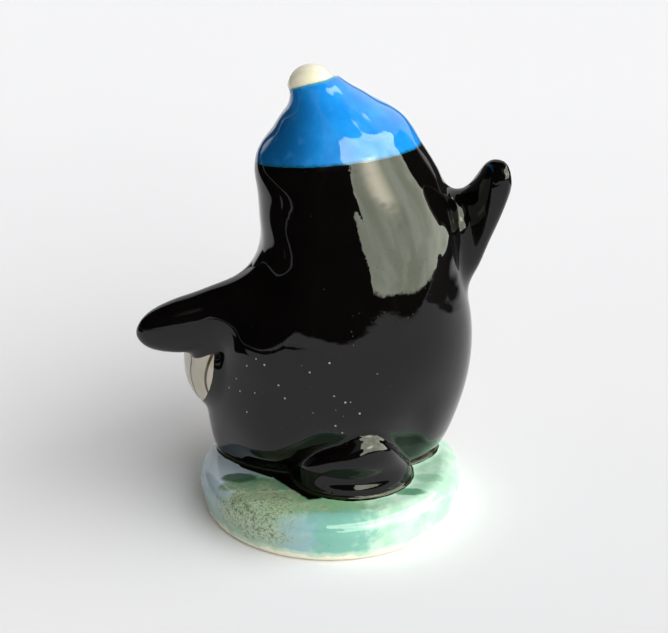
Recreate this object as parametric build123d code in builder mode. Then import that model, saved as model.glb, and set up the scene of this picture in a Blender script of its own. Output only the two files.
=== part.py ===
from build123d import *

import os

# A small glazed earthenware penguin in a bobble hat, standing on a round base.
# The penguin faces -Y, its left flipper points along +X, and +Z is up.
# The origin is the centre of the base's underside, where the figurine rests.
# Every piece was shaped in clay by itself and luted to the next with slip,
# so each one seats on its neighbour's own surface. Lengths are in millimetres.

# Base
base_radius = 14.4
base_foot_radius = 13.4
base_thickness = 5.2
base_top_round = 2.0
base_foot_round = 0.9

# The figure's form: one tapering stack from the base to the tip of the hat
figure_height = 41.6
figure_half_width = 14.0
figure_half_depth = 11.0
figure_lean = 3.06
figure_bow = 6.15
# Shares of height, sideways lean, bow to the front, half width and half depth
form_shares = [
    (0.000, 0.088, -0.407, 0.831, 0.582),
    (0.043, 0.075, -0.423, 0.894, 0.691),
    (0.091, -0.013, -0.439, 0.938, 0.791),
    (0.163, -0.127, -0.439, 0.986, 0.900),
    (0.272, -0.330, -0.439, 1.000, 1.000),
    (0.380, -0.565, -0.480, 0.943, 0.991),
    (0.476, -0.833, -0.561, 0.829, 0.936),
    (0.560, -1.000, -0.634, 0.752, 0.882),
    (0.644, -0.918, -0.732, 0.733, 0.836),
    (0.716, -0.699, -0.829, 0.703, 0.800),
    (0.764, -0.490, -0.894, 0.674, 0.773),
    (0.805, -0.392, -0.951, 0.616, 0.745),
    (0.841, -0.425, -1.000, 0.544, 0.709),
    (0.877, -0.376, -1.000, 0.470, 0.627),
    (0.911, -0.167, -0.967, 0.363, 0.509),
    (0.940, 0.049, -0.951, 0.290, 0.405),
    (0.966, 0.310, -0.951, 0.230, 0.314),
    (0.986, 0.484, -0.959, 0.193, 0.259),
    (1.000, 0.605, -0.959, 0.150, 0.209),
]

# Hat: the form above the brim, worn tipped forward and to the left
brim_height_share = 0.823
hat_forward_angle = 12.3
hat_aside_angle = 5.9

# Bobble, a rounded button on the hat's tip
bobble_radius = 2.45
bobble_height_share = 0.969
bobble_lean_share = 0.645
bobble_bow_share = -0.943
bobble_seat_share = 0.981
bobble_forward_angle = 16.5
bobble_aside_angle = 14.0

# Belly and chest, one swelling laid on the front
belly_foot_share = 0.087
belly_height_share = 0.486
belly_half_width = 13.6
belly_half_depth = 10.8
belly_lean = 2.1
belly_set = 5.2
# Shares of height, sideways lean, set to the front, half width and half depth
belly_shares = [
    (0.000, 0.80, 0.942, 0.580, 0.583),
    (0.035, 0.90, 0.962, 0.755, 0.731),
    (0.075, 1.00, 0.981, 0.860, 0.815),
    (0.135, 1.00, 1.000, 0.950, 0.898),
    (0.210, 1.00, 1.000, 0.995, 0.963),
    (0.360, 1.00, 1.000, 1.000, 1.000),
    (0.480, 0.85, 1.038, 0.965, 0.972),
    (0.600, 0.45, 1.115, 0.860, 0.926),
    (0.730, -0.10, 1.212, 0.700, 0.843),
    (0.860, -0.60, 1.327, 0.530, 0.741),
    (1.000, -0.95, 1.462, 0.330, 0.583),
]

# Face, a pale pad pressed on the front of the head
face_foot_share = 0.567
face_height_share = 0.169
face_lean_share = -0.77
face_half_width = 7.2
face_half_depth = 7.0
face_set = 7.8
# Shares of height, half width and half depth
face_shares = [
    (0.00, 0.60, 0.88),
    (0.16, 0.86, 0.965),
    (0.40, 1.00, 1.00),
    (0.64, 0.98, 0.995),
    (0.84, 0.86, 0.96),
    (1.00, 0.64, 0.88),
]

# Eyes
eye_radius = 0.8
eye_spread = 2.7
eye_height_share = 0.685
eye_reach = 13.9

# Beak
beak_root = 13.2
beak_length = 4.4
beak_half_width = 2.0
beak_half_height = 1.4
beak_height_share = 0.637
beak_droop = 0.8
# Shares of length, droop and size
beak_shares = [
    (0.00, 0.00, 1.00),
    (0.30, 0.10, 0.95),
    (0.60, 0.40, 0.72),
    (0.85, 0.80, 0.42),
    (0.96, 0.98, 0.20),
]

# Left flipper, held out and a little down
left_flipper_root = 5.6
left_flipper_length = 15.0
left_flipper_height_share = 0.4105
left_flipper_half_chord = 7.5
left_flipper_half_thickness = 3.4
left_flipper_set_forward = 1.4
left_flipper_droop = 2.8
# Shares of length, half chord and half thickness
left_flipper_shares = [
    (0.000, 1.00, 1.00),
    (0.158, 0.83, 0.94),
    (0.234, 0.685, 0.90),
    (0.378, 0.555, 0.82),
    (0.556, 0.46, 0.74),
    (0.697, 0.41, 0.67),
    (0.838, 0.33, 0.56),
    (0.909, 0.26, 0.45),
    (0.964, 0.16, 0.29),
    (0.988, 0.08, 0.16),
]

# Right flipper, raised in a wave and swung back as it rises
right_flipper_root = 9.2
right_flipper_length = 9.6
right_flipper_height_share = 0.511
right_flipper_rise = 10.0
right_flipper_half_chord = 6.9
right_flipper_half_thickness = 3.0
right_flipper_set_forward = 6.0
right_flipper_swing = 4.0
# Shares of length, rise, half chord and half thickness
right_flipper_shares = [
    (0.000, 0.00, 0.92, 1.00),
    (0.377, 0.08, 1.00, 0.97),
    (0.462, 0.12, 0.95, 0.92),
    (0.566, 0.27, 0.86, 0.83),
    (0.675, 0.52, 0.79, 0.73),
    (0.778, 0.75, 0.66, 0.65),
    (0.887, 0.91, 0.46, 0.53),
    (0.948, 0.985, 0.30, 0.40),
    (0.984, 1.00, 0.16, 0.22),
]

# Tail, a broad wedge that slopes down the back to the base
tail_height = 7.2
tail_half_width = 6.3
tail_half_depth = 5.8
tail_lean = 3.45
tail_setback = 6.1
# Shares of height, sideways lean, setback, half width and half depth
tail_shares = [
    (0.000, -0.667, 0.574, 1.000, 1.000),
    (0.111, -0.667, 0.590, 0.992, 0.983),
    (0.194, -0.667, 0.656, 0.952, 0.871),
    (0.306, -0.652, 0.754, 0.889, 0.716),
    (0.444, -0.696, 0.852, 0.786, 0.603),
    (0.583, -0.783, 0.918, 0.659, 0.509),
    (0.722, -0.928, 0.967, 0.476, 0.388),
    (0.861, -1.000, 1.000, 0.302, 0.250),
    (1.000, -1.000, 0.967, 0.127, 0.138),
]

# Feet, each with three toes fanned from the heel
foot_middle = 0.3
foot_spread = 4.7
foot_set_forward = 7.6
foot_height = 1.8
foot_drape_depth = 0.8
toe_length = 4.0
toe_radius = 1.2
toe_fan_angle = 28.0
foot_round = 0.8

# Places up the figure, which follow its height and its lean
brim_height = base_thickness + brim_height_share * figure_height
bobble_height = base_thickness + bobble_height_share * figure_height
bobble_seat_height = base_thickness + bobble_seat_share * figure_height
bobble_lean = bobble_lean_share * figure_lean
bobble_bow = bobble_bow_share * figure_bow
belly_foot_height = base_thickness + belly_foot_share * figure_height
belly_height = belly_height_share * figure_height
face_foot_height = base_thickness + face_foot_share * figure_height
face_height = face_height_share * figure_height
face_lean = face_lean_share * figure_lean
eye_height = base_thickness + eye_height_share * figure_height
beak_height = base_thickness + beak_height_share * figure_height
left_flipper_height = base_thickness + left_flipper_height_share * figure_height
right_flipper_height = base_thickness + right_flipper_height_share * figure_height

# The figure's form, which the body and the hat are cut from
with BuildPart() as form:
    for height_share, lean_share, bow_share, width_share, depth_share in form_shares:
        centre = (
            lean_share * figure_lean,
            bow_share * figure_bow,
            base_thickness + height_share * figure_height,
        )
        with BuildSketch(Plane(origin=centre)):
            Ellipse(width_share * figure_half_width, depth_share * figure_half_depth)
    loft()

# The brim and the bobble's seat, each tipped forward and aside
brim_plane = Plane(
    origin=(0, 0, brim_height),
    z_dir=Vector(0, 0, 1).rotate(Axis.X, hat_forward_angle).rotate(Axis.Y, hat_aside_angle),
)
bobble_plane = Plane(
    origin=(bobble_lean, bobble_bow, bobble_seat_height),
    z_dir=Vector(0, 0, 1).rotate(Axis.X, bobble_forward_angle).rotate(Axis.Y, bobble_aside_angle),
)

# Body, with the head
with BuildPart() as body:
    add(form.part)
    split(bisect_by=brim_plane, keep=Keep.BOTTOM)
body.part.label = "body"

# Hat
with BuildPart() as hat:
    add(form.part)
    split(bisect_by=brim_plane, keep=Keep.TOP)
    split(bisect_by=bobble_plane, keep=Keep.BOTTOM)
hat.part.label = "hat"

# Bobble
with BuildPart() as bobble:
    with Locations((bobble_lean, bobble_bow, bobble_height)):
        Sphere(bobble_radius)
    split(bisect_by=bobble_plane, keep=Keep.TOP)
bobble.part.label = "bobble"

# Belly and chest
with BuildPart() as belly:
    for height_share, lean_share, set_share, width_share, depth_share in belly_shares:
        centre = (
            lean_share * belly_lean,
            -set_share * belly_set,
            belly_foot_height + height_share * belly_height,
        )
        with BuildSketch(Plane(origin=centre)):
            Ellipse(width_share * belly_half_width, depth_share * belly_half_depth)
    loft()
    add(form.part, mode=Mode.SUBTRACT)
belly.part.label = "belly"

# Eyes
with BuildPart() as left_eye:
    with Locations((face_lean + eye_spread, -eye_reach, eye_height)):
        Sphere(eye_radius, rotation=(90, 0, 0))
    add(form.part, mode=Mode.SUBTRACT)
left_eye.part.label = "left_eye"

with BuildPart() as right_eye:
    with Locations((face_lean - eye_spread, -eye_reach, eye_height)):
        Sphere(eye_radius, rotation=(90, 0, 0))
    add(form.part, mode=Mode.SUBTRACT)
right_eye.part.label = "right_eye"

# Face
with BuildPart() as face:
    for height_share, width_share, depth_share in face_shares:
        with BuildSketch(Plane(origin=(face_lean, -face_set, face_foot_height + height_share * face_height))):
            Ellipse(width_share * face_half_width, depth_share * face_half_depth)
    loft()
    add(form.part, mode=Mode.SUBTRACT)
    add(belly.part, mode=Mode.SUBTRACT)
    add(left_eye.part, mode=Mode.SUBTRACT)
    add(right_eye.part, mode=Mode.SUBTRACT)
face.part.label = "face"

# Beak
with BuildPart() as beak:
    for length_share, droop_share, size_share in beak_shares:
        centre = (
            face_lean,
            -(beak_root + length_share * beak_length),
            beak_height - droop_share * beak_droop,
        )
        with BuildSketch(Plane(origin=centre, z_dir=(0, -1, 0))):
            Ellipse(size_share * beak_half_width, size_share * beak_half_height)
    beak_tip = Vertex(face_lean, -(beak_root + beak_length), beak_height - beak_droop)
    loft(sections=[*beak.pending_faces, beak_tip])
    add(form.part, mode=Mode.SUBTRACT)
    add(face.part, mode=Mode.SUBTRACT)
beak.part.label = "beak"

# Left flipper
with BuildPart() as left_flipper:
    for length_share, chord_share, thickness_share in left_flipper_shares:
        centre = (
            left_flipper_root + length_share * left_flipper_length,
            -left_flipper_set_forward,
            left_flipper_height - length_share * left_flipper_droop,
        )
        with BuildSketch(Plane(origin=centre, x_dir=(0, 1, 0), z_dir=(1, 0, 0))):
            Ellipse(
                thickness_share * left_flipper_half_thickness,
                chord_share * left_flipper_half_chord,
            )
    left_tip = Vertex(
        left_flipper_root + left_flipper_length,
        -left_flipper_set_forward,
        left_flipper_height - left_flipper_droop,
    )
    loft(sections=[*left_flipper.pending_faces, left_tip])
    add(form.part, mode=Mode.SUBTRACT)
    add(belly.part, mode=Mode.SUBTRACT)
left_flipper.part.label = "left_flipper"

# Right flipper
with BuildPart() as right_flipper:
    for length_share, rise_share, chord_share, thickness_share in right_flipper_shares:
        centre = (
            -(right_flipper_root + length_share * right_flipper_length),
            -right_flipper_set_forward + rise_share * right_flipper_swing,
            right_flipper_height + rise_share * right_flipper_rise,
        )
        with BuildSketch(Plane(origin=centre, x_dir=(0, 1, 0), z_dir=(-1, 0, 0))):
            Ellipse(
                thickness_share * right_flipper_half_thickness,
                chord_share * right_flipper_half_chord,
            )
    right_tip = Vertex(
        -(right_flipper_root + right_flipper_length),
        -right_flipper_set_forward + right_flipper_swing,
        right_flipper_height + right_flipper_rise,
    )
    loft(sections=[*right_flipper.pending_faces, right_tip])
    add(form.part, mode=Mode.SUBTRACT)
    add(belly.part, mode=Mode.SUBTRACT)
right_flipper.part.label = "right_flipper"

# Tail
with BuildPart() as tail:
    for height_share, lean_share, setback_share, width_share, depth_share in tail_shares:
        centre = (
            lean_share * tail_lean,
            setback_share * tail_setback,
            base_thickness + height_share * tail_height,
        )
        with BuildSketch(Plane(origin=centre)):
            Ellipse(width_share * tail_half_width, depth_share * tail_half_depth)
    loft()
    add(form.part, mode=Mode.SUBTRACT)
tail.part.label = "tail"

# Base, a turned disc with a flat top that the body and the tail stand on
with BuildPart() as base:
    Cone(
        base_foot_radius,
        base_radius,
        base_thickness,
        align=(Align.CENTER, Align.CENTER, Align.MIN),
    )
    fillet(base.faces().sort_by(Axis.Z)[-1].edges(), base_top_round)
    fillet(base.faces().sort_by(Axis.Z)[0].edges(), base_foot_round)
base.part.label = "base"

# Feet, draped over the edge of the base
with BuildPart() as foot_form:
    with BuildSketch(Plane.XY.offset(base_thickness - foot_drape_depth)):
        with Locations((foot_middle + foot_spread, -foot_set_forward)):
            with PolarLocations(toe_length / 2, 3, -90 - toe_fan_angle, 2 * toe_fan_angle, endpoint=True):
                SlotCenterToCenter(toe_length, 2 * toe_radius)
    extrude(amount=foot_drape_depth + foot_height)
    fillet(foot_form.faces().sort_by(Axis.Z)[-1].edges(), foot_round)

with BuildPart() as left_foot:
    add(foot_form.part)
    add(form.part, mode=Mode.SUBTRACT)
    add(base.part, mode=Mode.SUBTRACT)
left_foot.part.label = "left_foot"

with BuildPart() as right_foot:
    mirror(foot_form.part, about=Plane.YZ.offset(foot_middle))
    add(form.part, mode=Mode.SUBTRACT)
    add(base.part, mode=Mode.SUBTRACT)
right_foot.part.label = "right_foot"

os.makedirs("parts", exist_ok=True)

export_step(base.part, "parts/base.step")
export_step(body.part, "parts/body.step")
export_step(hat.part, "parts/hat.step")
export_step(bobble.part, "parts/bobble.step")
export_step(belly.part, "parts/belly.step")
export_step(face.part, "parts/face.step")
export_step(left_eye.part, "parts/left_eye.step")
export_step(right_eye.part, "parts/right_eye.step")
export_step(beak.part, "parts/beak.step")
export_step(left_flipper.part, "parts/left_flipper.step")
export_step(right_flipper.part, "parts/right_flipper.step")
export_step(tail.part, "parts/tail.step")
export_step(left_foot.part, "parts/left_foot.step")
export_step(right_foot.part, "parts/right_foot.step")
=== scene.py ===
import math
from functools import partial

import bmesh
import bpy
import numpy as np
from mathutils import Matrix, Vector
from mathutils.bvhtree import BVHTree


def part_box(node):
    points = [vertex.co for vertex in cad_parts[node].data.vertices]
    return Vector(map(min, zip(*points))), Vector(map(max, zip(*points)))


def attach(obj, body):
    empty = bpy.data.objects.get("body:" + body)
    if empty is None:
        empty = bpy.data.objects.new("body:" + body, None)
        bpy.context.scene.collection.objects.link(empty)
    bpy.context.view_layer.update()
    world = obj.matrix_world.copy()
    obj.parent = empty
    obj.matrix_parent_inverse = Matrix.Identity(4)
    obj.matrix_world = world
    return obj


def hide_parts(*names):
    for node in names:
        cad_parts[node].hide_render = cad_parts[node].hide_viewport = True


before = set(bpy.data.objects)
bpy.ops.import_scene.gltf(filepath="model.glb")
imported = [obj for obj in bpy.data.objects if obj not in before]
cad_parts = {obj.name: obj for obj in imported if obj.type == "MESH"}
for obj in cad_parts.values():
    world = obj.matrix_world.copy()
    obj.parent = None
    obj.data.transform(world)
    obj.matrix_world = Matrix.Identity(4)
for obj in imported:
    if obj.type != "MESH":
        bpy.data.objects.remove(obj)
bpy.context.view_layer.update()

MM = 0.001
TINY = 1e-20  # the least length that anything is divided by
scene = bpy.context.scene

# ---------------------------------------------------------------- The glazed skin of the figurine
#
# The maker lutes the clay pieces together with slip, smooths every joint with a wet brush, and pours glaze over them,
# so the fired figurine has one skin with soft hollows where two pieces meet. The pieces' own forms are joined here
# into one skin, the hollows are drawn in, and the skin is then divided again into its pieces.

SKIN_PIECES = (
    "base",
    "body",
    "hat",
    "bobble",
    "belly",
    "face",
    "beak",
    "left_flipper",
    "right_flipper",
    "tail",
    "left_foot",
    "right_foot",
)
MERGE_DISTANCE = 0.002 * MM
SKIN_STEP = 0.2 * MM
NEAREST_REACH = 4.0 * MM

# How far the slip spreads at each kind of joint, as the width of its soft hollow in mm
SLIP_WIDTH = {
    ("body", "left_flipper"): 1.7,
    ("body", "right_flipper"): 1.2,
    ("belly", "left_flipper"): 1.0,
    ("belly", "right_flipper"): 1.0,
    ("body", "tail"): 0.3,
    ("base", "body"): 0.3,
    ("base", "tail"): 0.22,
    ("belly", "body"): 0.55,
    ("body", "face"): 0.35,
    ("belly", "face"): 0.5,
    ("beak", "face"): 0.35,
    ("beak", "belly"): 0.35,
    ("bobble", "hat"): 0.35,
    ("base", "left_foot"): 0.3,
    ("base", "right_foot"): 0.3,
    ("body", "left_foot"): 0.35,
    ("body", "right_foot"): 0.35,
    ("body", "hat"): 0.3,
    ("hat", "face"): 0.3,
}
SLIP_WIDTH_ELSEWHERE = 0.4
SLIP_SPREAD = 2.2  # how far from the joint a hollow ends, in widths
SLIP_ROUNDS = 140
SLIP_PULL_LIMIT = 0.95
SLIP_EVENING_ROUNDS = 6

# The even wipe over the whole skin takes the ripples out and, going back a little further, keeps its fullness
WIPE_ROUNDS = 24
WIPE_IN = 0.6
WIPE_BACK = 0.615

# The clay is a little fuller than the plain forms where a thumb pressed the flippers' roots and the foot on from
# behind. Each row: middle across and up, reach to the left, right, down and up, and fullness, all in mm
SWELLINGS = (
    (5.6, 28.5, 7.5, 8.0, 10.0, 10.5, 1.10),
    (-11.0, 25.0, 9.0, 7.0, 11.0, 11.0, 0.75),
    (6.3, 9.3, 7.0, 6.5, 4.0, 7.5, 2.00),
    (-11.0, 9.0, 3.0, 4.0, 3.6, 7.5, 0.80),
    (-2.5, 11.0, 7.5, 7.5, 5.0, 6.5, 0.90),
    (10.0, 22.0, 3.5, 5.0, 5.5, 4.0, 0.70),
    (-12.8, 31.5, 1.5, 2.6, 5.0, 5.0, 0.55),
)
FULLY_FACING_BACK = 0.35  # how much of a normal points backwards where a swelling is whole
FACING_ROUNDS = 8

# The black glaze laps over the edges of the belly and over the base beside the foot, in mm
LAPS = {"belly": 0.5, "base": 0.35}
BORDER_ROUNDS = 14
BORDER_STRENGTHS = (0.5, -0.52)  # in and back, as in the wipe
BESIDE_RINGS = 3
BESIDE_ROUNDS = 5
BESIDE_STRENGTH = 0.5
NORMAL_ROUNDS = 3


def merged_copy(name):
    """The corners and triangles of a piece's own form, with its doubles merged."""
    work = bmesh.new()
    work.from_mesh(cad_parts[name].data)
    bmesh.ops.remove_doubles(work, verts=work.verts, dist=MERGE_DISTANCE)
    bmesh.ops.triangulate(work, faces=work.faces)
    work.verts.index_update()
    corners = [v.co.copy() for v in work.verts]
    faces = [[v.index for v in f.verts] for f in work.faces]
    work.free()
    return corners, faces


def remeshed(corners, faces):
    """One closed skin of even small squares over all the forms, as two arrays."""
    mesh = bpy.data.meshes.new("skin")
    mesh.from_pydata(corners, [], faces)
    holder = bpy.data.objects.new("skin", mesh)
    scene.collection.objects.link(holder)
    remesh = holder.modifiers.new("skin", "REMESH")
    remesh.mode = "VOXEL"
    remesh.voxel_size = SKIN_STEP
    remesh.adaptivity = 0.0
    even = bpy.data.meshes.new_from_object(holder.evaluated_get(bpy.context.evaluated_depsgraph_get()))
    bpy.data.objects.remove(holder)
    points = np.empty(len(even.vertices) * 3)
    even.vertices.foreach_get("co", points)
    squares = np.array([list(p.vertices) for p in even.polygons if len(p.vertices) == 4])
    return points.reshape(-1, 3), squares


def edges_of(faces):
    """The edges of the skin's squares, each once, as pairs of points."""
    sides = faces.shape[1]
    pairs = np.concatenate([faces[:, [i, (i + 1) % sides]] for i in range(sides)])
    pairs.sort(axis=1)
    return np.unique(pairs, axis=0)


def averaged(values, pairs, valence):
    """Each point's average over its neighbours along the given edges."""
    a, b = pairs[:, 0], pairs[:, 1]
    total = np.empty_like(values)
    for axis in range(values.shape[1]):
        column = values[:, axis]
        total[:, axis] = np.bincount(a, column[b], len(values))
        total[:, axis] += np.bincount(b, column[a], len(values))
    return total / valence[:, None]


def smooth(values):
    """A soft step over values that are kept between 0 and 1."""
    values = np.clip(values, 0.0, 1.0)
    return values * values * (3.0 - 2.0 * values)


def point_normals(points, triangles):
    """The way each point faces, weighted by its triangles' areas."""
    a, b, c = (points[triangles[:, i]] for i in range(3))
    across = np.cross(b - a, c - a)
    normals = np.zeros_like(points)
    for corner in range(3):
        for axis in range(3):
            normals[:, axis] += np.bincount(triangles[:, corner], across[:, axis], len(points))
    return normals / np.maximum(np.linalg.norm(normals, axis=1), TINY)[:, None]


forms = {name: merged_copy(name) for name in SKIN_PIECES}
all_corners = []
all_faces = []
for corners, faces in forms.values():
    offset = len(all_corners)
    all_corners.extend(corners)
    all_faces.extend([[i + offset for i in f] for f in faces])
points, squares = remeshed(all_corners, all_faces)
triangles = np.concatenate([squares[:, [0, 1, 2]], squares[:, [0, 2, 3]]])
edges = edges_of(squares)
count = len(points)
valence = np.bincount(edges.ravel(), minlength=count).astype(float)

# The distance to each form, and so the nearest and the second nearest one, at each point of the skin
gaps = np.full((count, len(SKIN_PIECES)), NEAREST_REACH)
for column, name in enumerate(SKIN_PIECES):
    tree = BVHTree.FromPolygons(*forms[name])
    low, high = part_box(name)
    within = (points > np.array(low) - NEAREST_REACH) & (points < np.array(high) + NEAREST_REACH)
    for row in np.flatnonzero(within.all(axis=1)):
        found = tree.find_nearest(points[row], NEAREST_REACH)
        if found[0] is not None:
            gaps[row, column] = found[3]
order = np.argsort(gaps, axis=1)
owner = order[:, 0]
second = order[:, 1]
second_gap = gaps[np.arange(count), second]

# Slip and brush: the soft hollows first, then the even wipe
widths = np.full((len(SKIN_PIECES), len(SKIN_PIECES)), SLIP_WIDTH_ELSEWHERE)
for pair, width in SLIP_WIDTH.items():
    i, j = SKIN_PIECES.index(pair[0]), SKIN_PIECES.index(pair[1])
    widths[i, j] = widths[j, i] = width
width_here = widths[owner, second] * MM
fade = smooth(1.0 - second_gap / (SLIP_SPREAD * width_here))
pull = np.clip(2.0 * (width_here * fade) ** 2 / (SKIN_STEP ** 2 * SLIP_ROUNDS), 0.0, SLIP_PULL_LIMIT)
for _ in range(SLIP_EVENING_ROUNDS):
    pull = 0.5 * pull + 0.5 * averaged(pull[:, None], edges, valence)[:, 0]
for _ in range(SLIP_ROUNDS):
    points += pull[:, None] * (averaged(points, edges, valence) - points)
for _ in range(WIPE_ROUNDS):
    points += WIPE_IN * (averaged(points, edges, valence) - points)
    points -= WIPE_BACK * (averaged(points, edges, valence) - points)

facing_back = smooth(point_normals(points, triangles)[:, 1] / FULLY_FACING_BACK)
for _ in range(FACING_ROUNDS):
    facing_back = averaged(facing_back[:, None], edges, valence)[:, 0]
for across, up_from, left, right, down, up, fullness in SWELLINGS:
    aside = points[:, 0] / MM - across
    above = points[:, 2] / MM - up_from
    aside = np.clip(np.where(aside > 0, aside / left, aside / -right), 0.0, 1.0)
    above = np.clip(np.where(above > 0, above / up, above / -down), 0.0, 1.0)
    rise = 0.25 * (1 + np.cos(math.pi * aside)) * (1 + np.cos(math.pi * above))
    points[:, 1] += fullness * MM * rise * facing_back

# Each triangle goes to the piece that its corners lie nearest to
lapped = gaps.copy()
for name, lap in LAPS.items():
    lapped[:, SKIN_PIECES.index(name)] += lap * MM
face_owner = np.argmin(lapped[triangles].mean(axis=1), axis=1)


def borders():
    """The skin's edges that two different pieces share, as pairs of points."""
    half = np.concatenate([triangles[:, [0, 1]], triangles[:, [1, 2]], triangles[:, [2, 0]]])
    half.sort(axis=1)
    who = np.tile(face_owner, 3)
    key = half[:, 0].astype(np.int64) * count + half[:, 1]
    sorting = np.argsort(key, kind="stable")
    key, who, half = key[sorting], who[sorting], half[sorting]
    same = key[1:] == key[:-1]
    split = same & (who[1:] != who[:-1])
    return half[:-1][split]


# The borders are drawn smooth, and the points beside them follow
border = borders()
on_border = np.zeros(count, bool)
on_border[border.ravel()] = True
border_valence = np.maximum(np.bincount(border.ravel(), minlength=count), 1).astype(float)
even_border = on_border & (border_valence == 2)
for _ in range(BORDER_ROUNDS):
    for strength in BORDER_STRENGTHS:
        move = averaged(points, border, border_valence) - points
        points[even_border] += strength * move[even_border]
beside = on_border.copy()
for _ in range(BESIDE_RINGS):
    touched = beside[edges].any(axis=1)
    beside[edges[touched].ravel()] = True
beside &= ~on_border
for _ in range(BESIDE_ROUNDS):
    move = averaged(points, edges, valence) - points
    points[beside] += BESIDE_STRENGTH * move[beside]

normals = point_normals(points, triangles)
for _ in range(NORMAL_ROUNDS):
    normals = 0.5 * normals + 0.5 * averaged(normals, edges, valence)
normals /= np.linalg.norm(normals, axis=1)[:, None]


def loops_of(pairs):
    """The closed lines that a piece's open edges make, as lists of points in order."""
    following = {}
    for a, b in pairs:
        following.setdefault(a, []).append(b)
    lines = []
    while following:
        start = next(iter(following))
        line = [start]
        here = start
        while following.get(here):
            after = following[here].pop()
            if not following[here]:
                del following[here]
            if after == start:
                break
            line.append(after)
            here = after
        lines.append(line)
    return lines


def skin_piece(name):
    """One piece of the skin, closed inside by a fan over each open edge, with the whole skin's shading."""
    mine = triangles[face_owner == SKIN_PIECES.index(name)]
    used = np.unique(mine)
    local = np.full(count, -1)
    local[used] = np.arange(len(used))
    faces = local[mine]
    corners = points[used]
    directed = np.concatenate([faces[:, [0, 1]], faces[:, [1, 2]], faces[:, [2, 0]]])
    forward = directed[:, 0].astype(np.int64) * count + directed[:, 1]
    backward = directed[:, 1].astype(np.int64) * count + directed[:, 0]
    open_edges = directed[~np.isin(forward, backward)]
    caps = []
    middles = []
    for line in loops_of([(int(b), int(a)) for a, b in open_edges]):
        middles.append(corners[line].mean(axis=0))
        middle = len(corners) + len(middles) - 1
        caps.extend([[line[i], line[(i + 1) % len(line)], middle] for i in range(len(line))])
    mesh = bpy.data.meshes.new(name + "_skin")
    every = np.concatenate([corners, np.array(middles).reshape(-1, 3)])
    mesh.from_pydata(every.tolist(), [], faces.tolist() + caps)
    mesh.shade_smooth()
    shading = np.zeros((len(mesh.loops), 3))
    skin_loops = len(faces) * 3
    shading[:skin_loops] = normals[used][faces.ravel()]
    for number, cap in enumerate(caps):
        a, b, c = every[cap[0]], every[cap[1]], every[cap[2]]
        flat = np.cross(b - a, c - a)
        first = skin_loops + 3 * number
        shading[first : first + 3] = flat / max(np.linalg.norm(flat), TINY)
    mesh.normals_split_custom_set(shading.tolist())
    # The distance to the next piece in mm, which the glazes follow along their joints
    joint = mesh.attributes.new("joint", "FLOAT", "POINT")
    joint.data.foreach_set("value", np.concatenate([second_gap[used] / MM, np.zeros(len(middles))]))
    return mesh


# ---------------------------------------------------------------- Glazes

# Settings that many nodes share
SMOOTH = {"interpolation_type": "SMOOTHSTEP"}
PLUS, MINUS, TIMES, LARGER = ({"operation": o} for o in ("ADD", "SUBTRACT", "MULTIPLY", "MAXIMUM"))

# Roughnesses, of the glazes from the sharpest mirror to the softest, and of the dull specks and the bare clay
BLACK_ROUGHNESS = 0.025
BLUE_ROUGHNESS = 0.035
OTHER_ROUGHNESS = 0.05
SPECK_ROUGHNESS = 0.6
CLAY_ROUGHNESS = 0.6


def hex_colour(code):
    """An sRGB hex colour as the linear colour that the shaders take."""
    parts = [int(code[i : i + 2], 16) / 255 for i in (1, 3, 5)]
    return tuple(p / 12.92 if p <= 0.04045 else ((p + 0.055) / 1.055) ** 2.4 for p in parts) + (1.0,)


def add(tree, kind, *values, **settings):
    """Adds a node with its settings, puts values, hex colours or links on its sockets in order, gives its output."""
    made = tree.nodes.new("ShaderNode" + kind)
    for setting, value in settings.items():
        setattr(made, setting, value)
    for socket, value in zip([s for s in made.inputs if s.enabled], values):
        if isinstance(value, bpy.types.NodeSocket):
            tree.links.new(value, socket)
        else:
            socket.default_value = hex_colour(value) if isinstance(value, str) else value
    return next((s for s in made.outputs if s.enabled), None)


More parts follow.
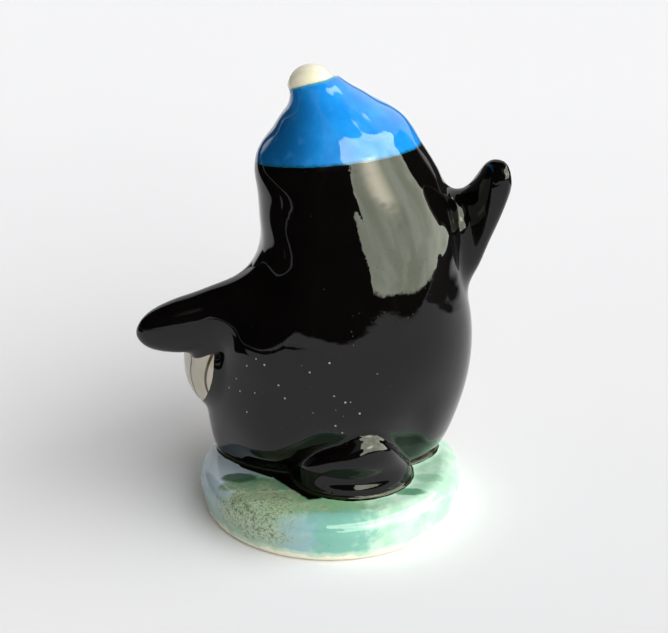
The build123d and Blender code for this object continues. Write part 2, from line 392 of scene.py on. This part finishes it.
class Glaze:
    """A glossy fired glaze, which is a glass, painted in millimetres of the figurine's own space."""

    def __init__(self, name, roughness, ior=1.52):
        self.material = bpy.data.materials.new(name)
        self.material.use_nodes = True
        self.tree = self.material.node_tree
        self.add = partial(add, self.tree)
        self.shader = self.tree.nodes["Principled BSDF"]
        self.shader.inputs["Roughness"].default_value = roughness
        self.shader.inputs["IOR"].default_value = ior
        place = self.add("TexCoord").node.outputs["Object"]
        self.mm = self.add("VectorMath", place, 1.0 / MM, operation="SCALE")
        self.x, self.y, self.z = self.add("SeparateXYZ", self.mm).node.outputs
        self.joint = self.add("Attribute", attribute_name="joint").node.outputs["Fac"]

    def clouds(self, size, detail=3.0, rough=0.55, shift=0.0):
        """Soft clouds whose features are about the given size in mm."""
        shifted = self.add("VectorMath", self.mm, (shift, 0.6 * shift, -shift), **PLUS)
        return self.add("TexNoise", shifted, 1.0 / size, detail, rough)

    def pool(self, centre, reach, soft, wobble, size=1.5, shift=0.0, strength=1.0):
        """A mask of the given strength inside a pool of glaze of a reach about a centre, with a wandering edge."""
        away = self.add("VectorMath", self.mm, centre, **MINUS)
        scaled = self.add("VectorMath", away, reach, operation="DIVIDE")
        far = self.add("VectorMath", scaled, operation="LENGTH")
        wander = self.add("Math", self.clouds(size, 3.0, 0.6, shift), 0.5, **MINUS)
        edge = self.add("Math", wander, 4.0 * wobble, far, operation="MULTIPLY_ADD")
        return self.add("MapRange", edge, 1.0 + soft / 2, 1.0 - soft / 2, 0.0, strength, **SMOOTH)

    def specks(self, spacing, radius, share, shift=0.0):
        """A mask of small round specks, as pinholes or dust make them, sized and spaced in mm."""
        moved = self.add("VectorMath", self.mm, (shift, -shift, 0.5 * shift), **PLUS)
        away = self.add("TexVoronoi", moved, 1.0 / spacing)
        dot = self.add("MapRange", away, radius / spacing, 0.7 * radius / spacing, **SMOOTH)
        lot = self.add("SeparateColor", away.node.outputs["Color"])
        chosen = self.add("Math", lot, share, operation="LESS_THAN")
        return self.add("Math", dot, chosen, **TIMES)

    def paint(self, tone, layers):
        """The base colour: a tone, with each layer's colour laid on it where the layer's mask is 1."""
        for mask, colour in layers:
            tone = self.add("Mix", mask, tone, colour, data_type="RGBA")
        self.tree.links.new(tone, self.shader.inputs["Base Color"])

    def gloss(self, roughness):
        """The roughness, where it changes over the surface."""
        self.tree.links.new(roughness, self.shader.inputs["Roughness"])

    def waves(self, size, depth, detail=2.0, shift=0.0):
        """The glaze's gentle unevenness, a height in mm over features of a size in mm."""
        bump = self.add("Bump", 1.0, depth * MM).node
        self.tree.links.new(self.clouds(size, detail, 0.5, shift), bump.inputs["Height"])
        self.tree.links.new(bump.outputs["Normal"], self.shader.inputs["Normal"])


# Black glaze on earthenware, dipped and fired glossy: it mirrors the room sharply over gentle waves, and is thin and
# greenish at its foot. Its mirror is a little weaker than a typical glaze's, to match the photograph. Two patches of
# the back have pinholes 0.26 mm across. House dust is too fine to show in the render, and is drawn 0.15 mm across.
black = Glaze("black_glaze_on_earthenware", BLACK_ROUGHNESS, 1.47)
black.shader.inputs["Specular IOR Level"].default_value = 0.41
at_edge = black.add("MapRange", black.joint, 0.45, 0.1, **SMOOTH)
at_foot = black.add("MapRange", black.z, 8.0, 6.5, **SMOOTH)
on_back = black.add(
    "Math",
    black.pool((7.2, 7.0, 17.0), (3.8, 7.0, 4.2), 0.8, 0.6, 2.2),
    black.pool((-1.2, 9.0, 18.5), (3.4, 7.0, 4.4), 0.8, 0.7, 2.2, 11.0),
    **LARGER,
)
pinholes = black.add("Math", black.specks(0.85, 0.13, 0.55), on_back, **TIMES)
dusty = black.add("MapRange", black.clouds(5.0, 2.0, 0.5, 5.0), 0.44, 0.62, **SMOOTH)
dust = black.add("Math", black.specks(0.62, 0.075, 0.3, 31.0), dusty, **TIMES)
black.paint("#050404", (
    (black.clouds(3.0), "#0b0908"),
    (black.add("Math", at_edge, at_foot, **TIMES), "#1d2412"),
    (dust, "#2a2826"),
    (black.add("Math", pinholes, 0.9, **TIMES), "#a39a98"),
))
dull = black.add("Math", black.add("Math", pinholes, dust, **LARGER), SPECK_ROUGHNESS, **TIMES)
black.gloss(black.add("Math", dull, BLACK_ROUGHNESS, **LARGER))
black.waves(2.6, 0.011, 3.0)

# Cobalt blue glaze of the hat, brushed on and fired glossy: pale where it is thin, darker towards the penguin's left as
# painted shade, and teal along its joints, dark at the brim and, from about 42.5 mm up, pale at the bobble
blue = Glaze("cobalt_blue_glaze", BLUE_ROUGHNESS)
wavering = blue.add("Math", blue.clouds(0.8), 0.4, blue.joint, operation="MULTIPLY_ADD")
near_joint = blue.add("MapRange", wavering, 0.56, 0.24, **SMOOTH)
at_brim = blue.add("MapRange", blue.z, 43.0, 42.0, **SMOOTH)
above_brim = blue.add("MapRange", blue.z, 42.0, 43.0, **SMOOTH)
blue.paint("#1883d2", (
    (blue.add("MapRange", blue.clouds(4.0), 0.35, 0.7, **SMOOTH), "#2496e4"),
    # Painted shade: the hat darkens towards the penguin's left, the side away from the window
    (blue.add("MapRange", blue.x, 0.0, 5.5, **SMOOTH), "#0f5c94"),
    (blue.add("MapRange", blue.clouds(1.6, 2.0, 0.5, 7.0), 0.5, 0.8, 0.0, 0.2, **SMOOTH), "#56aef0"),
    (blue.add("Math", near_joint, at_brim, **TIMES), "#0d5468"),
    (blue.add("Math", near_joint, above_brim, **TIMES), "#4d9fa6"),
))
blue.waves(3.2, 0.014, 2.0, 3.0)

# Cream glaze over white slip, brushed on the bobble, the belly and the face and fired glossy: faintly clouded, olive
# along its joints, greyer under the left flipper as painted shadow, and run there in a few thin dark lines
cream = Glaze("cream_glaze_over_slip", OTHER_ROUGHNESS)
wavering = cream.add("Math", cream.clouds(0.9), 0.5, cream.joint, operation="MULTIPLY_ADD")
near_joint = cream.add("MapRange", wavering, 0.55, 0.2, **SMOOTH)
lower_darker = cream.add("MapRange", cream.z, 45.0, 43.0, 0.35, 0.85, **SMOOTH)
bands = cream.add("TexWave", cream.mm, 0.13, 5.0, 2.0, 0.35, bands_direction="Y").node.outputs["Fac"]
lines = cream.add("MapRange", bands, 0.94, 0.99, **SMOOTH)
for along_axis, start, end in ((cream.x, 10.5, 12.0), (cream.y, -7.5, -5.5), (cream.z, 26.0, 24.0)):
    inside = cream.add("MapRange", along_axis, start, end, **SMOOTH)
    lines = cream.add("Math", lines, inside, **TIMES)
cream.paint("#f1ecd0", (
    (cream.add("MapRange", cream.clouds(2.5), 0.35, 0.7, **SMOOTH), "#e6dfbe"),
    (cream.add("Math", near_joint, lower_darker, **TIMES), "#6b6a4c"),
    # Painted shadow of the left flipper: the cream turns greyer towards the penguin's left
    (cream.add("MapRange", cream.x, 9.0, 13.0, 0.0, 0.55, **SMOOTH), "#9d948c"),
    (lines, "#4c4434"),
))
cream.waves(2.0, 0.01, 2.0, 9.0)

# Mottled reactive green glaze of the base, poured, wiped off the foot rim and fired glossy: milky clouds of 2.6 mm,
# painted shade towards the penguin's left, dark pools beside the figurine, teal and grey-blue ones at the edge, fine
# speckle, and rough bare clay below
green = Glaze("mottled_green_glaze_over_clay", OTHER_ROUGHNESS)
POOLS = (
    # Centre and reach in mm, softness, wander, strength, colour
    ((-0.6, 12.9, 3.4), (3.9, 3.4, 3.6), 0.8, 0.35, 0.8, "#6cae9f"),
    ((3.2, 12.4, 3.0), (2.2, 3.0, 2.4), 0.6, 0.35, 0.7, "#93b7bf"),
    ((12.0, 2.0, 5.2), (3.6, 6.5, 2.6), 0.7, 0.25, 0.85, "#b6c3cd"),
    ((12.6, 6.6, 3.0), (2.4, 3.2, 1.8), 0.7, 0.30, 0.6, "#9fb6bd"),
    ((2.0, 10.4, 5.4), (6.4, 1.7, 1.6), 0.6, 0.30, 0.85, "#7fae7e"),
    ((7.6, 6.2, 5.4), (4.0, 1.5, 1.3), 0.4, 0.28, 0.85, "#54805a"),
    ((4.2, 8.6, 5.4), (3.6, 1.1, 1.3), 0.4, 0.25, 0.8, "#5f8f62"),
    ((9.6, 4.6, 5.4), (1.9, 1.0, 1.2), 0.4, 0.2, 0.9, "#39573f"),
    ((8.0, 8.6, 5.2), (3.2, 0.8, 1.0), 0.4, 0.3, 0.85, "#4f7753"),
    ((-8.3, 7.6, 5.4), (1.7, 0.75, 1.2), 0.35, 0.2, 0.85, "#4f8e69"),
    ((-10.6, 4.6, 5.4), (1.5, 0.9, 1.2), 0.5, 0.3, 0.6, "#7db58f"),
)
layers = [
    (green.add("MapRange", green.clouds(2.6, 4.0, 0.6), 0.35, 0.65, **SMOOTH), "#c6e6cd"),
    # Painted shade: darker and greyer towards the penguin's left, away from the window
    (green.add("MapRange", green.x, -3.0, 6.0, 0.0, 0.75, **SMOOTH), "#93b39d"),
]
for number, (centre, reach, soft, wobble, strength, colour) in enumerate(POOLS):
    layers.append((green.pool(centre, reach, soft, wobble, 1.3, 3.7 * number, strength), colour))

# Speckle in flecks of 0.22 and 0.45 mm, and dots of 0.18 mm all over. The finest crystals of such a glaze are too fine
# to show in the render, and are drawn this coarse
speckled = green.pool((7.8, 9.8, 4.1), (6.2, 3.6, 2.5), 0.8, 0.45, 1.6, 50.0)
layers.append((green.add("Math", speckled, 0.55, **TIMES), "#b3bd9c"))
for size, start, shift, colour in ((0.22, 0.50, 2.0, "#7d8a66"), (0.45, 0.56, 17.0, "#5f7157")):
    flecks = green.add("MapRange", green.clouds(size, 2.0, 0.6, shift), start, start + 0.07, 0.0, 0.75, **SMOOTH)
    layers.append((green.add("Math", flecks, speckled, **TIMES), colour))
layers.append((green.add("Math", green.specks(0.8, 0.09, 0.25, 8.0), 0.5, **TIMES), "#5f7f66"))

# Darker beside the other pieces, paler below about 1.5 mm, and bare below about 0.8 mm
wavering = green.add("Math", green.clouds(1.0), 0.5, green.joint, operation="MULTIPLY_ADD")
layers.append((green.add("MapRange", wavering, 0.75, 0.35, 0.0, 0.8, **SMOOTH), "#55754a"))
wiped = green.add("Math", green.clouds(2.2, 3.0, 0.6, 21.0), 1.6, green.z, operation="MULTIPLY_ADD")
layers.append((green.add("MapRange", wiped, 2.3, 1.8, 0.0, 0.5, **SMOOTH), "#dfeed2"))
bare = green.add("MapRange", wiped, 1.75, 1.45, **SMOOTH)
layers.append((bare, "#efe9d2"))


def slanting(across_x, across_y):
    """How far a place lies along a slanting way over the base's top, in mm."""
    return green.add("Math", green.x, across_x, green.add("Math", green.y, across_y, **TIMES), operation="MULTIPLY_ADD")


# The black glaze that ran over the base: an apron beside the tail, and a streak from it to the left
apron_edge = green.add(
    "Math", green.clouds(1.6, 2.0, 0.5, 33.0), 0.5, slanting(0.79, 0.61), operation="MULTIPLY_ADD"
)
apron = green.add(
    "Math",
    green.add("MapRange", apron_edge, 7.95, 7.65, **SMOOTH),
    green.pool((3.0, 5.8, 5.4), (4.6, 3.6, 3.0), 0.1, 0.03),
    **TIMES,
)
along_streak = slanting(0.83, -0.56)
off_streak = green.add("Math", green.add("Math", slanting(0.56, 0.83), 6.65, **MINUS), operation="ABSOLUTE")
narrowing = green.add("MapRange", along_streak, 6.2, 8.6, 0.0, 0.9, **SMOOTH)
streak = green.add("MapRange", green.add("Math", off_streak, narrowing, **PLUS), 0.72, 0.6, **SMOOTH)
streak = green.add("Math", streak, green.add("MapRange", along_streak, 2.2, 2.8, **SMOOTH), **TIMES)
layers.append((green.add("Math", apron, streak, **LARGER), "#070605"))
green.paint("#a9d6b6", layers)
green.gloss(green.add("MapRange", bare, 0.0, 1.0, OTHER_ROUGHNESS, CLAY_ROUGHNESS, **SMOOTH))
green.waves(2.4, 0.02, 3.0, 12.0)

# Orange glaze of the beak and the feet, brushed on and fired glossy: thicker and browner in clouds of 1.2 mm
orange = Glaze("orange_glaze", OTHER_ROUGHNESS)
orange.paint("#e9922c", ((orange.add("MapRange", orange.clouds(1.2), 0.35, 0.7, **SMOOTH), "#d97c1e"),))
orange.waves(1.4, 0.008, 2.0, 15.0)

FINISH = {
    "base": (green, "base_glaze"),
    "hat": (blue, "hat_glaze"),
    **{name: (black, "black_glaze") for name in ("body", "left_flipper", "right_flipper", "tail")},
    **{name: (cream, "cream_glaze") for name in ("bobble", "belly", "face")},
    **{name: (orange, "orange_glaze") for name in ("beak", "left_foot", "right_foot")},
}

for name in SKIN_PIECES:
    mesh = skin_piece(name)
    mesh.materials.append(FINISH[name][0].material)
    piece = bpy.data.objects.new(name + "_glazed", mesh)
    scene.collection.objects.link(piece)
    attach(piece, "root")
    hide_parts(name)

for name in ("left_eye", "right_eye"):
    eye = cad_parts[name].data
    eye.materials.clear()
    eye.materials.append(black.material)


# ---------------------------------------------------------------- Floor and camera

# Ways over the floor: image right and towards the camera, which stands straight behind the penguin
TO_RIGHT = Vector((-1.0, 0.0, 0.0))
TO_CAMERA = Vector((0.0, 1.0, 0.0))
UP = Vector((0.0, 0.0, 1.0))

FLOOR_HALF = 3.0
CORNERS = ((-1, -1), (1, -1), (1, 1), (-1, 1))
floor_mesh = bpy.data.meshes.new("floor")
floor_mesh.from_pydata([(FLOOR_HALF * x, FLOOR_HALF * y, 0) for x, y in CORNERS], [], [(0, 1, 2, 3)])
floor = bpy.data.objects.new("floor", floor_mesh)
scene.collection.objects.link(floor)

# Matt white paper sheet, with painted light: paler behind the figurine, where it begins to rise towards the window's
# light
floor_paper = bpy.data.materials.new("white_paper_sweep")
floor_paper.use_nodes = True
sheet = floor_paper.node_tree
add_to_sheet = partial(add, sheet)
paper = sheet.nodes["Principled BSDF"]
paper.inputs["Roughness"].default_value = 0.9
paper.inputs["Specular IOR Level"].default_value = 0.1
on_sheet = add_to_sheet("SeparateXYZ", add_to_sheet("TexCoord").node.outputs["Object"]).node
sheet_x, sheet_y, _ = on_sheet.outputs
# Painted light: the sheet's colour grows paler away from the camera
painted_floor_light = add_to_sheet("MapRange", sheet_y, -0.12, 0.05)
tone = add_to_sheet("Mix", painted_floor_light, "#fafaf9", "#eeeeed", data_type="RGBA")

# In what the glaze mirrors, the sheet ends a hand's breadth to the left and runs away slanting on the right.
# Each row has two measures, with where the sheet still lies and where it has ended, in metres
slant = add_to_sheet("Math", sheet_x, 0.47, sheet_y, operation="MULTIPLY_ADD")
SHEET_ENDS = (
    ((sheet_x, 0.118, 0.128), (sheet_y, 0.045, 0.035)),
    ((sheet_x, 0.300, 0.310), (sheet_y, 0.700, 0.600)),
    ((sheet_x, -0.055, -0.065), (slant, -0.0925, -0.1025)),
)
ended = 0.0
for first, other in SHEET_ENDS:
    both = add_to_sheet("Math", add_to_sheet("MapRange", *first), add_to_sheet("MapRange", *other), **TIMES)
    ended = add_to_sheet("Math", both, ended, **LARGER)
mirrored_ray = add_to_sheet("LightPath").node.outputs["Is Glossy Ray"]
beyond = add_to_sheet("Math", ended, mirrored_ray, **TIMES)
tone = add_to_sheet("Mix", beyond, tone, "#100e0d", data_type="RGBA")
sheet.links.new(tone, paper.inputs["Base Color"])
floor_mesh.materials.append(floor_paper)

CAMERA_ELEVATION = math.radians(26.0)
CAMERA_DISTANCE = 0.3
CAMERA_AIM = Vector((-0.4, 0.0, 22.0)) * MM
back = TO_CAMERA * math.cos(CAMERA_ELEVATION) + UP * math.sin(CAMERA_ELEVATION)
camera_data = bpy.data.cameras.new("camera")
camera_data.sensor_width = 36.0
camera_data.lens = 153.9
camera_data.clip_start = 0.01
camera_data.clip_end = 20.0
camera = bpy.data.objects.new("camera", camera_data)
scene.collection.objects.link(camera)
camera.location = CAMERA_AIM + back * CAMERA_DISTANCE
camera.rotation_mode = "QUATERNION"
camera.rotation_quaternion = (-back).to_track_quat("-Z", "Y")
scene.camera = camera


# ---------------------------------------------------------------- The room, as the glaze mirrors it
#
# A way seen in the room is an azimuth, from the camera's way towards the right, and a height, both in degrees.

world = bpy.data.worlds.new("room")
scene.world = world
world.use_nodes = True
world.node_tree.nodes.clear()
add_to_room = partial(add, world.node_tree)
way = add_to_room("TexCoord").node.outputs["Generated"]
rightward, cameraward, upward, fillward = (
    add_to_room("VectorMath", way, tuple(direction), operation="DOT_PRODUCT")
    for direction in (TO_RIGHT, TO_CAMERA, UP, TO_RIGHT - TO_CAMERA)
)
turned = add_to_room("Math", rightward, cameraward, operation="ARCTAN2")
azimuth = add_to_room("Math", turned, operation="DEGREES")
height = add_to_room("Math", add_to_room("Math", upward, operation="ARCSINE"), operation="DEGREES")


def room_clouds(scale, detail, upright):
    """Soft clouds over the room, flatter if upright is more than 1 and taller if it is less."""
    stretched = add_to_room("VectorMath", way, (1.0, 1.0, upright), **TIMES)
    return add_to_room("TexNoise", stretched, scale, detail, 0.6)


def edge_by_height(edge, *moves):
    """An edge's azimuth that moves by some degrees while the height goes from one value to another."""
    for start, end, move in moves:
        share = add_to_room("MapRange", height, start, end, **SMOOTH)
        edge = add_to_room("Math", share, move, edge, operation="MULTIPLY_ADD")
    return edge


def past(value, limit, start, end):
    """A soft step while a value less its limit goes from start to end."""
    return add_to_room("MapRange", add_to_room("Math", value, limit, **MINUS), start, end, **SMOOTH)


def all_of(first, *masks):
    """Where all the masks are 1."""
    for mask in masks:
        first = add_to_room("Math", first, mask, **TIMES)
    return first


# The window: a tall pane on the right, with foliage at its left edge and something dark standing before its foot.
# Each side edge is its azimuth and then its moves: between which two heights, and by how many degrees
LEFT_EDGE = (3.0, (29.0, 34.0, -15.0), (12.8, 12.2, 4.0), (13.5, 17.0, 8.0))
RIGHT_EDGE = (110.0, (8.0, 19.0, -10.0), (24.0, 34.0, 24.0))
SILL, SILL_TURN, SILL_FALL = 7.6, 36.0, 0.15  # its height, the azimuth from which it sinks, and how fast
TOP, TOP_TURN, TOP_FALL = 58.5, 85.0, 0.45  # the same for the top
CORNER, CORNER_RISE = 52.0, 0.35  # the top's height at azimuth 0, and how fast it rises from there
foliage = add_to_room("Math", room_clouds(14.0, 4.0, 1.0), 16.0, -8.0, operation="MULTIPLY_ADD")
foliage = all_of(foliage, add_to_room("MapRange", height, 33.0, 27.0, **SMOOTH))
left_edge = add_to_room("Math", edge_by_height(*LEFT_EDGE), foliage, **PLUS)
past_sill = add_to_room("Math", add_to_room("Math", azimuth, SILL_TURN, **MINUS), 0.0, **LARGER)
sill = add_to_room("Math", past_sill, -SILL_FALL, SILL, operation="MULTIPLY_ADD")
past_top = add_to_room("Math", add_to_room("Math", azimuth, TOP_TURN, **MINUS), 0.0, **LARGER)
pane = all_of(
    past(azimuth, left_edge, -0.4, 0.8),
    past(azimuth, edge_by_height(*RIGHT_EDGE), 1.0, -1.0),
    past(add_to_room("Math", foliage, 0.12, height, operation="MULTIPLY_ADD"), sill, -0.5, 0.6),
    past(add_to_room("Math", past_top, TOP_FALL, height, operation="MULTIPLY_ADD"), TOP, 0.0, -2.0),
    past(add_to_room("Math", azimuth, -CORNER_RISE, height, operation="MULTIPLY_ADD"), CORNER, 0.0, -2.0),
)

# What the pane shows: dull green and grey, with one gleam of the sky at azimuth 44 and height 27
GLEAM_AZIMUTH, GLEAM_HALF_WIDTH = 44.0, 24.0
GLEAM_HEIGHT, GLEAM_HALF_HEIGHT = 27.25, 6.75
blotches = add_to_room("MapRange", room_clouds(2.4, 3.0, 2.0), 0.36, 0.66, **SMOOTH)
outside = add_to_room("Mix", blotches, "#7c8171", "#93968a", data_type="RGBA")
beside_gleam = add_to_room("Math", add_to_room("Math", azimuth, GLEAM_AZIMUTH, **MINUS), operation="ABSOLUTE")
off_gleam = add_to_room("Math", add_to_room("Math", height, GLEAM_HEIGHT, **MINUS), operation="ABSOLUTE")
gleam = all_of(
    add_to_room("MapRange", beside_gleam, GLEAM_HALF_WIDTH, 0.0, **SMOOTH),
    add_to_room("MapRange", off_gleam, GLEAM_HALF_HEIGHT, GLEAM_HALF_HEIGHT / 2, 0.0, 0.7, **SMOOTH),
)
outside = add_to_room("Mix", gleam, outside, "#efe8cf", data_type="RGBA")

# Elsewhere: a dim warm room, a ceiling with a little light on it, and the pale backdrop behind the figurine, which
# also rises a little in front where the paper curls
blotches = add_to_room("MapRange", room_clouds(4.0, 4.0, 0.35), 0.5, 0.75, **SMOOTH)
around = add_to_room("Mix", blotches, "#0d0b0a", "#4d4034", data_type="RGBA")
ceiling = all_of(
    add_to_room("MapRange", height, 28.0, 33.0, **SMOOTH),
    add_to_room("MapRange", height, 60.0, 54.0, **SMOOTH),
    add_to_room("MapRange", azimuth, -45.0, -30.0, 0.0, 0.8, **SMOOTH),
)
around = add_to_room("Mix", ceiling, around, "#a7b0b4", data_type="RGBA")
far_right = past(azimuth, edge_by_height(137.0, (20.0, 32.0, -20.0)), -3.0, 3.0)
far_left = add_to_room("MapRange", azimuth, -138.0, -144.0, **SMOOTH)
backdrop = all_of(
    add_to_room("Math", far_right, far_left, **LARGER),
    add_to_room("MapRange", height, 64.0, 56.0, **SMOOTH),
)
curl = all_of(
    add_to_room("MapRange", azimuth, -55.0, -40.0, **SMOOTH),
    add_to_room("MapRange", azimuth, 50.0, 10.0, 0.0, 4.5, **SMOOTH),
)
white_paper = add_to_room("Math", backdrop, past(height, curl, 0.6, -0.6), **LARGER)
around = add_to_room("Mix", white_paper, around, "#f0f0f0", data_type="RGBA")

# What the glaze mirrors: a glaze throws back about a twenty-fifth, so the pane's own colours are this much brighter
PANE_MIRRORED = 24.0
mirrored = add_to_room(
    "MixShader", pane, add_to_room("Background", around, 1.0), add_to_room("Background", outside, PANE_MIRRORED)
)
# The light that falls on clay and paper: the same window, even and neutral, with a weak fill from the right
PANE_LIGHT = 3.9
FILL_LEAST, FILL_MOST = 0.12, 0.36
fill_level = add_to_room("MapRange", fillward, -1.2, 1.2, FILL_LEAST, FILL_MOST, **SMOOTH)
light = add_to_room(
    "MixShader",
    pane,
    add_to_room("Background", "#fbfbff", fill_level),
    add_to_room("Background", "#fdfdff", PANE_LIGHT),
)
# What is seen straight past the object: a pale backdrop
seen = add_to_room("Background", "#f0f0f0", 1.0)
path = add_to_room("LightPath").node.outputs
straight = add_to_room("Math", path["Is Camera Ray"], path["Is Transmission Ray"], **LARGER)
indirect = add_to_room("MixShader", path["Is Glossy Ray"], light, mirrored)
add_to_room("OutputWorld", add_to_room("MixShader", straight, indirect, seen))

scene.view_settings.view_transform = "Standard"
